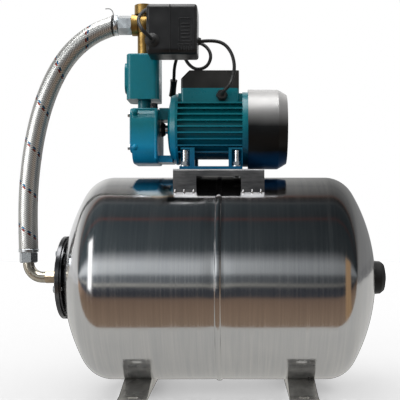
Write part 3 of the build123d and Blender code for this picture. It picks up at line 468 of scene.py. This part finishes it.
def splineOf(name, points, thickness=0.0, perSegment=12):
    # one open NURBS curve through the route
    curve = bpy.data.curves.new(name, "CURVE")
    curve.dimensions = "3D"
    curve.resolution_u = perSegment
    curve.bevel_depth = thickness / 2
    curve.bevel_resolution = 5
    curve.use_fill_caps = True
    spline = curve.splines.new("NURBS")
    spline.points.add(len(points) - 1)
    for control, place in zip(spline.points, points):
        control.co = (*place, 1)
    spline.order_u = 3
    spline.use_endpoint_u = True
    made = bpy.data.objects.new(name, curve)
    bpy.context.scene.collection.objects.link(made)
    return made


def lineOf(points, perSegment):
    # the points of the route's own curve, in order
    trial = splineOf("trial", points, 0.0, perSegment)
    bpy.context.view_layer.update()
    mesh = bpy.data.meshes.new_from_object(trial)
    line = np.zeros(len(mesh.vertices) * 3)
    mesh.vertices.foreach_get("co", line)
    curve = trial.data
    bpy.data.objects.remove(trial)
    bpy.data.curves.remove(curve)
    bpy.data.meshes.remove(mesh)
    return line.reshape(-1, 3)


def metres(route):
    return [tuple(v * mm for v in p) for p in route]


# Hose from the fitting's side port down to the tank's elbow
hoseSet = {
    "diameter": 0.034,
    "length": 0.467,
    "route": metres([
        (-190, 0, 651), (-215.7, 0, 642.7), (-242.5, 0, 627.2), (-266.7, 0, 606.2), (-287.6, 0, 579.4),
        (-307.3, 0, 542.3), (-324.4, 0, 495.3), (-337.9, 0, 436.9), (-346.7, 0, 365.4), (-348.6, 0, 299.5),
        (-347, 0, 246),
    ]),
    "round": 120,
    "perSegment": 56,
}


def braidedHose():
    # tube: point = line + radius * (cos a * Y + sin a * side); the radius swells by a crown where a
    # strand lies over its crossing
    line = lineOf(hoseSet["route"], hoseSet["perSegment"])
    line = line[np.concatenate([[True], np.linalg.norm(np.diff(line, axis=0), axis=1) > 1e-6])]
    tangent = np.gradient(line, axis=0)
    tangent /= np.linalg.norm(tangent, axis=1)[:, None]
    side = np.cross(tangent, (0, 1, 0))
    run = np.concatenate([[0], np.cumsum(np.linalg.norm(np.diff(line, axis=0), axis=1))])
    turn = np.linspace(0, 1, hoseSet["round"], endpoint=False)
    u, v = turn[None, :] + 0 * run[:, None], run[:, None] / braidSet["pitch"] + 0 * turn[None, :]
    rising, falling = braidSet["carriers"] * (u + v), braidSet["carriers"] * (u - v)
    over = (np.floor(rising) + np.floor(falling)) % 4 < 1.5
    crown = np.sqrt(np.abs(np.sin(np.pi * np.where(over, rising, falling))))
    radius = hoseSet["diameter"] / 2 - braidSet["crown"] + braidSet["crown"] * crown
    angle = 2 * np.pi * u
    grid = line[:, None, :] + radius[..., None] * (
        np.cos(angle)[..., None] * np.array([0.0, 1.0, 0.0]) + np.sin(angle)[..., None] * side[:, None, :])
    places = np.stack([u, v], -1)
    tube = piece("braidedHose", [grid], "braid", ["hose"], sharp=180, uv=("braid", places))
    return tube, line


hose, hoseLine = braidedHose()

# Lead from the switch to the motor's gland
motorLeadSet = {
    "diameter": 0.006,
    "length": 0.156,
    "route": metres([
        (-31.5, -60, 607), (-14, -60, 609), (8, -62, 604), (22, -64, 586), (27, -66, 562), (23, -70, 542),
        (18, -79, 527), (6, -74, 517), (4.2, -57, 516.5),
    ]),
}

# Mains lead: round the switch, one loose loop, down behind the tank to its coil
mainsLeadSet = {
    "diameter": 0.006,
    "length": 1.84,
    "route": metres([
        (-112, -102, 600), (-114, -116, 601), (-127, -124, 612), (-134, -108, 632), (-132, -84, 648),
        (-128, -58, 662), (-116, -34, 675), (-94, -24, 675), (-74, -22, 658), (-66, -22, 630),
        (-66, -24, 602), (-60, -26, 579), (-43, -28, 564), (-22, -30, 569), (-14, -28, 590), (-25, -21, 610),
        (-48, -10, 620), (-72, 0, 610), (-84, 10, 582), (-86, 24, 556), (-91, 44, 528), (-96, 68, 496),
        (-86, 86, 462), (-70, 98, 430), (-64, 108, 400), (-66, 119, 370), (-76, 139, 342), (-92, 166, 300),
        (-103, 186, 250), (-106, 198, 196), (-104, 203, 140), (-101, 208, 84), (-95, 214, 38),
        (-88, 221, 12), (-81, 240, 3.1),
    ]),
    "coilCentre": (-0.040, 0.262),
    "tail": metres([(-27, 297, 10.5), (-18, 298, 14.5), (-6, 298, 18.1)]),
    "stepsPerTurn": 16,
    "turns": 3.25,
}


def coilPoints():
    # clockwise turns: outer ring, inner ring, then one on top of both; each control point stands a little
    # outside its turn because the curve cuts inside its points
    steps = int(mainsLeadSet["stepsPerTurn"] * mainsLeadSet["turns"])
    turn = np.arange(steps) / mainsLeadSet["stepsPerTurn"]
    radius = np.interp(turn, [0, 1.0, 1.22, 2.05, 2.3, 3.25], [37.4, 37.4, 30.8, 30.8, 34.1, 34.4]) * mm
    height = np.interp(turn, [0, 2.0, 2.3, 2.9, 3.1, 3.25], [3.1, 3.1, 9.0, 9.0, 9.8, 10.0]) * mm
    outside = 1 / math.cos(math.pi / mainsLeadSet["stepsPerTurn"])
    angle = math.pi - 2 * np.pi * turn
    x = mainsLeadSet["coilCentre"][0] + radius * outside * np.cos(angle)
    y = mainsLeadSet["coilCentre"][1] + radius * outside * np.sin(angle)
    return list(zip(x.tolist(), y.tolist(), height.tolist()))


def leads():
    motor = splineOf("motorLead", motorLeadSet["route"], motorLeadSet["diameter"])
    whole = mainsLeadSet["route"] + coilPoints() + mainsLeadSet["tail"]
    mains = splineOf("mainsLead", whole, mainsLeadSet["diameter"])
    for lead, nodes in ((motor, ["motor_lead"]), (mains, ["mains_lead", "mains_coil"])):
        lead.data.materials.append(finishes["rubber"])
        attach(lead, "frame")
        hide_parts(*nodes)
    return motor, mains, lineOf(whole, 12)


motorLead, mainsLead, mainsLine = leads()


# Sleeve on the lead where it drops behind the pump
sleeveSet = {"top": 0.557, "bottom": 0.531, "radius": 0.0068, "pastTop": 120, "behind": 0.08}


def leadSleeve():
    # a shrunk tube along the lead: radius flares a little at both ends and dips in the middle
    heights = mainsLine[:, 2]
    falling = np.arange(len(mainsLine)) > np.argmax(heights) + sleeveSet["pastTop"]
    between = (heights < sleeveSet["top"]) & (heights > sleeveSet["bottom"])
    part = mainsLine[falling & between & (mainsLine[:, 1] < sleeveSet["behind"])]
    tangent = np.gradient(part, axis=0)
    tangent /= np.linalg.norm(tangent, axis=1)[:, None]
    side = np.cross(tangent, (1.0, 0, 0))
    side /= np.linalg.norm(side, axis=1)[:, None]
    third = np.cross(tangent, side)
    along = np.linspace(-1, 1, len(part))
    radius = sleeveSet["radius"] * (0.86 + 0.14 * np.abs(along) ** 3)
    angle = np.linspace(0, 2 * np.pi, 28, endpoint=False)
    ring = np.cos(angle)[None, :, None] * side[:, None, :] + np.sin(angle)[None, :, None] * third[:, None, :]
    return piece("leadSleeve", [part[:, None, :] + radius[:, None, None] * ring], "black")


sleeve = leadSleeve()

# Tie at the hose's top end, its tail curling up
tieSet = {
    "x": -0.1935, "z": 0.6505, "radius": 0.0178, "width": 0.0036, "tailHalf": (0.0016, 0.0007),
    "tail": metres([(-193, -3, 668), (-193, -4, 673), (-196, -5, 678), (-201, -6, 680), (-207, -6, 679)]),
}


def hoseTie():
    # band: a lathe about the hose's axis; tail: a thin strip carried up and over
    w = tieSet["width"] / 2
    r = tieSet["radius"]
    crown = r + 0.0009
    profile = [(-w, r - 0.002), (-w, r), (-w * 0.6, crown), (w * 0.6, crown), (w, r), (w, r - 0.002)]
    band = turnedOn("X", (tieSet["x"], 0, tieSet["z"]), profile, 48)
    line = lineOf(tieSet["tail"], 8)
    tangent = np.gradient(line, axis=0)
    tangent /= np.linalg.norm(tangent, axis=1)[:, None]
    flat = np.cross(tangent, (0, 1.0, 0))
    angle = np.linspace(0, 2 * np.pi, 12, endpoint=False)
    thin = np.linspace(1.0, 0.55, len(line))[:, None, None]
    wide, deep = tieSet["tailHalf"]
    across = wide * thin * np.cos(angle)[None, :, None] * np.array([0, 1.0, 0])
    ring = across + deep * np.sin(angle)[None, :, None] * flat[:, None, :]
    return piece("hoseTie", [band, line[:, None, :] + ring], "black")


hoseTie()

print("hose and leads laid")


# Tank skin: two dished halves welded in the middle
tankSet = {
    "radius": 0.180, "halfLength": 0.275, "axisZ": 0.195, "wall": 0.0015,
    "crown": 0.300, "knuckle": 0.052, "neck": 0.050, "boss": 0.012,
    "seamHalf": 0.0045, "seamHeight": 0.0022, "steps": 384,
}


def dishedEnd(hole, crown, knuckle, radius, tip):
    # from the hole outwards: an arc of the crown radius, then the knuckle's arc up to the straight wall
    crownCentre = tip - crown
    reach = crown - knuckle
    knuckleX = crownCentre + math.sqrt(reach**2 - (radius - knuckle) ** 2)
    joinAngle = math.asin((radius - knuckle) / reach)
    crownTilt = np.linspace(math.asin(hole / crown), joinAngle, 34)
    bend = np.linspace(joinAngle, np.pi / 2, 26)[1:]
    x = np.concatenate([crownCentre + crown * np.cos(crownTilt), knuckleX + knuckle * np.cos(bend)])
    r = np.concatenate([crown * np.sin(crownTilt), radius - knuckle + knuckle * np.sin(bend)])
    return x, r


def tankSkin():
    t = tankSet
    rightX, rightR = dishedEnd(t["boss"], t["crown"], t["knuckle"], t["radius"], t["halfLength"])
    leftX, leftR = dishedEnd(t["neck"], t["crown"], t["knuckle"], t["radius"], t["halfLength"])
    wallX = np.concatenate([np.linspace(rightX[-1], 0.012, 22)[1:], np.linspace(0.011, -0.011, 45),
                            np.linspace(-0.012, -leftX[-1], 22)[:-1]])
    hump = np.clip((t["seamHalf"] + 0.0005 - np.abs(wallX)) / 0.0012, 0, 1)
    barrel = np.clip(1 - (wallX / t["seamHalf"]) ** 2, 0, 1)
    wallR = t["radius"] + (t["seamHeight"] - 0.0005) * (3 * hump**2 - 2 * hump**3) + 0.0005 * barrel
    outX = np.concatenate([rightX, wallX, -leftX[::-1]])
    outR = np.concatenate([rightR, wallR, leftR[::-1]])
    inX = np.array([-t["halfLength"] + 0.008, -0.22, -0.17, 0.17, 0.22, t["halfLength"] - 0.002])
    inR = np.array([t["neck"], t["radius"] - 0.03, t["radius"] - 0.004, t["radius"] - 0.004,
                    t["radius"] - 0.03, t["boss"]])
    x = np.concatenate([outX, inX])[:, None]
    r = np.concatenate([outR, inR])[:, None]
    angle = np.linspace(0, 2 * np.pi, t["steps"], endpoint=False)[None, :]
    outside = (np.arange(len(x)) < len(outX))[:, None]
    # slow waves of rolled sheet, a pull beside the weld, and the weld's own ripple
    wave = 0.00010 * np.sin(3 * angle + 9 * x) + 0.00007 * np.sin(7 * angle - 31 * x + 1.3)
    pull = -0.00035 * np.exp(-((np.abs(x) - 0.010) / 0.007) ** 2) * (1 + 0.5 * np.sin(11 * angle + 0.7))
    ripple = 0.00012 * np.sin(170 * angle) * np.exp(-(x / 0.003) ** 2)
    calm = np.clip((0.24 - np.abs(x)) / 0.04, 0, 1)
    r = r + outside * (wave * calm + pull + ripple)
    grid = np.stack([x + 0 * angle, -r * np.cos(angle), t["axisZ"] + r * np.sin(angle)], -1)
    return piece("tankSkin", [grid], "tank",
                 ["tank_shell_left", "tank_shell_right", "tank_seam_band"], closedPath=True, sharp=60)


tankSkin()
print("tank skin made")


# Tack welds where the platform's skirts meet the tank
weldSet = {
    "places": (-73, -58, -42, 41, 56, 70.5), "depth": 0.1005, "height": 0.3462,
    "radii": (0.0017, 0.0022, 0.0036),
}


def tackWelds():
    # ellipsoid drops, three to a leg, on both skirts
    drops = [bead((x * mm, side * weldSet["depth"], weldSet["height"]), weldSet["radii"])
             for x in weldSet["places"] for side in (-1, 1)]
    return piece("tackWelds", drops, "bright")


tackWelds()

# Union nuts and crimped collars of the hose, and the elbow's nut
unionSet = {
    "corner": 0.0165, "top": (-0.184, -0.159), "bottom": (0.222, 0.240), "elbow": (-0.316, -0.298),
    "washer": (-0.1585, -0.1568), "washerRadius": 0.0168,
}


def unionNuts():
    top = hexOn("X", (0, 0, 0.651), *unionSet["top"], unionSet["corner"] * 1.06, math.pi / 6)
    near, far = unionSet["washer"]
    disc = [(near, 0), (near, unionSet["washerRadius"]), (far, unionSet["washerRadius"]), (far, 0)]
    washer = turnedOn("X", (0, 0, 0.651), disc, 48)
    low = hexOn("Z", (-0.347, 0, 0), *unionSet["bottom"], unionSet["corner"])
    piece("unionNuts", [top, washer, low], "zinc", ["hose_nuts"], sharp=24)
    nut = hexOn("X", (0, 0, 0.195), *unionSet["elbow"], 0.0112, 0.2, 0.0012)
    piece("elbowNut", [nut], "bronze", ["elbow_nut"], sharp=24)


def crimpedCollars():
    # lathe: a rolled lip, a waist and a second lip
    top = [(-0.1905, 0.0172), (-0.1900, 0.0182), (-0.1888, 0.0186), (-0.1876, 0.0181), (-0.1866, 0.0178),
           (-0.1856, 0.0182), (-0.1846, 0.0178), (-0.1838, 0.0150)]
    low = [(0.2398, 0.0140), (0.2402, 0.0170), (0.2412, 0.0176), (0.2424, 0.0172), (0.2436, 0.0176),
           (0.2450, 0.0178), (0.2462, 0.0174), (0.2466, 0.0168)]
    piece("hoseCollars", [turnedOn("X", (0, 0, 0.651), top, 72), turnedOn("Z", (-0.347, 0, 0), low, 72)],
          "zinc", ["hose_ferrules"], sharp=60)


unionNuts()
crimpedCollars()

# Switch: raised panel and ribs on its cover, the seam's lip, the bell grommet
switchSet = {
    "face": -0.096, "proud": 0.0007, "frame": 0.0012,
    "panel": (-0.0675, -0.0450, 0.5975, 0.6375),    # left, right, low, high
    "louvres": (5, 0.0058, 0.0022),                 # how many, their pitch, their height
    "ribs": (6, 0.0042, 0.0018, 0.5825, 0.5905),    # how many, their pitch, their width, low, high
}


def switchPanel():
    # plain bars standing just proud of the cover: a frame, short louvres inside it, upright ribs below
    face, proud = switchSet["face"], switchSet["proud"]
    left, right, low, high = switchSet["panel"]

    def bar(x0, x1, z0, z1, along):
        return softBar((x0, face - proud, z0), (x1, face + 0.001, z1), 0.0004, along)

    edge = switchSet["frame"]
    bars = [bar(left, right, low, low + edge, "X"), bar(left, right, high - edge, high, "X"),
            bar(left, left + edge, low, high, "Z"), bar(right - edge, right, low, high, "Z"),
            bar(left - 0.002, right, 0.5925, 0.5938, "X")]
    count, pitch, tall = switchSet["louvres"]
    bars += [bar(left + 0.004, right - 0.004, low + pitch * n, low + pitch * n + tall, "X")
             for n in range(1, count + 1)]
    count, pitch, wide, foot, head = switchSet["ribs"]
    bars += [bar(left + pitch * n, left + pitch * n + wide, foot, head, "Z") for n in range(count)]
    piece("switchRibs", bars, "black")
    lip = softBar((-0.0828, face - 0.0006, 0.5805), (-0.0812, face + 0.001, 0.6605), 0.0003, "Z")
    piece("switchSeamLip", [lip], "black")


def bellGrommet():
    # lathe about Y: a wide foot, two rolled rings, a nose that grips the lead
    profile = [(0.0, 0.0), (0.0, 0.0118), (-0.0012, 0.0122), (-0.0022, 0.0114), (-0.0024, 0.0098),
               (-0.0036, 0.0096), (-0.0046, 0.0088), (-0.0046, 0.0072), (-0.0062, 0.0066), (-0.0080, 0.0056),
               (-0.0100, 0.0042), (-0.0104, 0.0033), (-0.0100, 0.0)]
    grid = turnedOn("Y", (-0.112, -0.0955, 0.600), profile, 56)
    piece("bellGrommet", [grid], "rubber", ["switch_grommet"], sharp=75)


switchPanel()
bellGrommet()

# Screws in the terminal lid and the switch cover
screwSet = {
    "lid": ((-0.048, -0.032), (-0.048, 0.032), (0.026, -0.034), (0.026, 0.034)), "lidTop": 0.561,
    "cover": ((-0.046, 0.590), (-0.046, 0.651)), "coverBack": -0.0382,
}


def panScrews():
    # pan head: a shallow dome with a dished recess
    head = [(-0.001, 0.0), (-0.001, 0.0034), (0.0006, 0.0034), (0.0014, 0.0029), (0.0017, 0.0020),
            (0.0016, 0.0014), (0.0007, 0.0008), (0.0006, 0.0)]
    heads = [turnedOn("Z", (x, y, screwSet["lidTop"]), head, 24) for x, y in screwSet["lid"]]
    piece("lidScrews", heads, "zinc")
    backs = [turnedOn("Y", (x, screwSet["coverBack"], z), head, 24) for x, z in screwSet["cover"]]
    piece("coverScrews", backs, "zinc")


panScrews()

# Cast details of the pump: raised rims and bosses on the casing's faces
castSet = {
    "face": 0.056,      # how far the faces stand from the shaft
    "boss": 0.0055, "bosses": ((-0.147, 0.487), (-0.147, 0.425)),
    "rims": (("Z", -0.1125, -0.1085, 0.404, 0.492), ("X", -0.1505, -0.1085, 0.4885, 0.4925)),
}


def castDetails():
    # flattened ellipsoids and rounded bars sunk into the casing's front and back faces
    grids = []
    boss = castSet["boss"]
    for side in (-1, 1):
        sunk, proud = (castSet["face"] - 0.002) * side, (castSet["face"] + 0.0022) * side
        near, far = sorted((sunk, proud))
        grids += [bead((x, sunk, z), (boss, 0.0050, boss), 24) for x, z in castSet["bosses"]]
        grids += [softBar((left, near, low), (right, far, high), 0.0016, axis)
                  for axis, left, right, low, high in castSet["rims"]]
    grids.append(softBar((-0.166, -0.0015, 0.5935), (-0.108, 0.0015, 0.5948), 0.0005, "X"))
    piece("castDetails", grids, "teal", sharp=60)


castDetails()
print("fittings, switch and screws made")


# Floor and studio
studioSet = {
    "floorFront": -0.268, "floor": 0.50, "paintedGlow": 0.42,      # front edge, paleness, glow seen in the steel
    "white": 1.0, "fill": 0.42,
    "leftGain": (2.1, 0.60, -0.3, 0.14),    # the left end is brighter, from and to, between two directions
    "key": ((-0.3, -0.35, 2.2), 1.5, 55), "left": ((-1.9, -1.3, 0.7), 0.9, 20),
    "side": ((2.2, -0.8, 1.5), 1.8, 8), "back": ((0.6, 2.2, 2.0), 2.2, 14),
}

# what the metal sees, by the angle round the tank's own axis: 0 straight ahead, 90 overhead, 180 behind
surroundings = [
    (-180, grey(0.36)), (-100, grey(0.42)), (-67, grey(0.45)), (-62, (0.34, 0.25, 0.18)),
    (-30, (0.26, 0.18, 0.13)), (-19, (0.22, 0.15, 0.11)), (-17, (0.05, 0.055, 0.065)),
    (-7, (0.05, 0.055, 0.065)), (-5, (0.34, 0.33, 0.3)), (-3.5, (0.34, 0.33, 0.3)),
    (-2, (0.1, 0.11, 0.12)), (5, (0.13, 0.14, 0.15)), (9, (0.43, 0.45, 0.46)), (19, (0.46, 0.48, 0.49)),
    (26, (0.24, 0.25, 0.26)), (33, (0.05, 0.06, 0.065)), (69, (0.035, 0.045, 0.05)),
    (71, (0.1, 0.045, 0.04)), (74, (0.035, 0.042, 0.046)), (93, (0.045, 0.055, 0.06)),
    (95, (0.1, 0.105, 0.105)), (97, (0.045, 0.05, 0.055)), (105, (0.05, 0.045, 0.04)),
    (107, (0.17, 0.1, 0.085)), (110, (0.16, 0.155, 0.15)), (128, (0.28, 0.28, 0.275)),
    (130, grey(0.22)), (132, (0.3, 0.3, 0.295)), (150, (0.42, 0.42, 0.41)), (180, grey(0.42)),
]

# two patches of light in it: the turn and its half width, the side and its half width, the colour
patches = {
    "window": (0.35, 0.55, -0.62, 0.09, grey(2.2)),
    "warmWall": (-0.25, 0.75, 0.74, 0.12, (0.42, 0.27, 0.15)),
}


def studioWorld():
    # camera rays see plain white, glossy rays the bands and patches, all others an even fill
    world = bpy.data.worlds.new("studio")
    world.use_nodes = True
    bpy.context.scene.world = world
    tree = world.node_tree
    background = tree.nodes["Background"]
    direction = node(tree, "SeparateXYZ", {"Vector": node(tree, "TexCoord").outputs["Generated"]})
    ahead = sums(tree, "MULTIPLY", direction.outputs["Y"], -1.0)
    turn = sums(tree, "ARCTAN2", direction.outputs["Z"], ahead)
    place = spread(tree, turn, 0.0, 1.0, -math.pi, math.pi)
    seen = ramp(tree, place, [((a + 180) / 360, c) for a, c in surroundings])
    left = spread(tree, direction.outputs["X"], *studioSet["leftGain"])
    upper = spread(tree, direction.outputs["Z"], 0.0, 1.0, -0.22, -0.08)
    tint = node(tree, "CombineXYZ", {"X": left, "Y": left, "Z": left}).outputs[0]
    seen = mixed(tree, upper, seen, mixed(tree, 1.0, seen, tint, "MULTIPLY"))
    for turnAt, turnHalf, sideAt, sideHalf, colour in patches.values():
        turned = sums(tree, "COMPARE", turn, turnAt, turnHalf)
        aside = sums(tree, "COMPARE", direction.outputs["X"], sideAt, sideHalf)
        seen = mixed(tree, sums(tree, "MULTIPLY", turned, aside), seen, colour)
    ray = node(tree, "LightPath")
    soft = mixed(tree, ray.outputs["Is Glossy Ray"], grey(studioSet["fill"]), seen)
    shown = mixed(tree, ray.outputs["Is Camera Ray"], soft, grey(studioSet["white"]))
    tree.links.new(shown, background.inputs["Color"])


def studioFloor():
    # a flat pale sheet, one grid
    x = np.array([-3.0, 3.0])
    y = np.array([studioSet["floorFront"], 4.0])
    corners = [(x[0], y[0], 0), (x[1], y[0], 0), (x[1], y[1], 0), (x[0], y[1], 0)]
    mesh = bpy.data.meshes.new("paleFloor")
    mesh.from_pydata(corners, [], [(0, 1, 2, 3)])
    made, tree, shader = finish("paleFloor", grey(studioSet["floor"]), 0.7)
    cloud = noise(tree, objectPlace(tree, (3, 3, 3)), 1.0, 3.0)
    level = studioSet["floor"]
    tone = ramp(tree, cloud, [(0.3, grey(level - 0.01)), (0.7, grey(level + 0.01))])
    tree.links.new(tone, shader.inputs["Base Color"])
    paintedGlow = sums(tree, "MULTIPLY", node(tree, "LightPath").outputs["Is Glossy Ray"], studioSet["paintedGlow"])
    tree.links.new(paintedGlow, shader.inputs["Emission Strength"])    # a painted glow that only glossy rays see: paler in the steel than under the object
    shader.inputs["Emission Color"].default_value = (1.0, 0.985, 0.93, 1.0)
    mesh.materials.append(made)
    floor = bpy.data.objects.new("paleFloor", mesh)
    floor.is_shadow_catcher = True      # it shows only the soft shadow, on the same white as behind
    bpy.context.scene.collection.objects.link(floor)


def studioLights():
    spared = bpy.data.collections.new("mirrorSkin")     # the tank mirrors only the studio round it
    spared.objects.link(bpy.data.objects["tankSkin"])
    spared.objects.link(bpy.data.objects["paleFloor"])
    for name in ("key", "left", "side", "back"):
        place, size, power = studioSet[name]
        data = bpy.data.lights.new(name + "Light", "AREA")
        data.size = size
        data.energy = power
        lamp = bpy.data.objects.new(name + "Light", data)
        bpy.context.scene.collection.objects.link(lamp)
        lamp.location = place
        lamp.rotation_euler = (Vector((0, 0, 0.3)) - Vector(place)).to_track_quat("-Z", "Y").to_euler()
        lamp.light_linking.receiver_collection = spared
    for entry in spared.collection_objects:
        entry.light_linking.link_state = "EXCLUDE"


studioWorld()
studioFloor()
studioLights()
print("studio set")
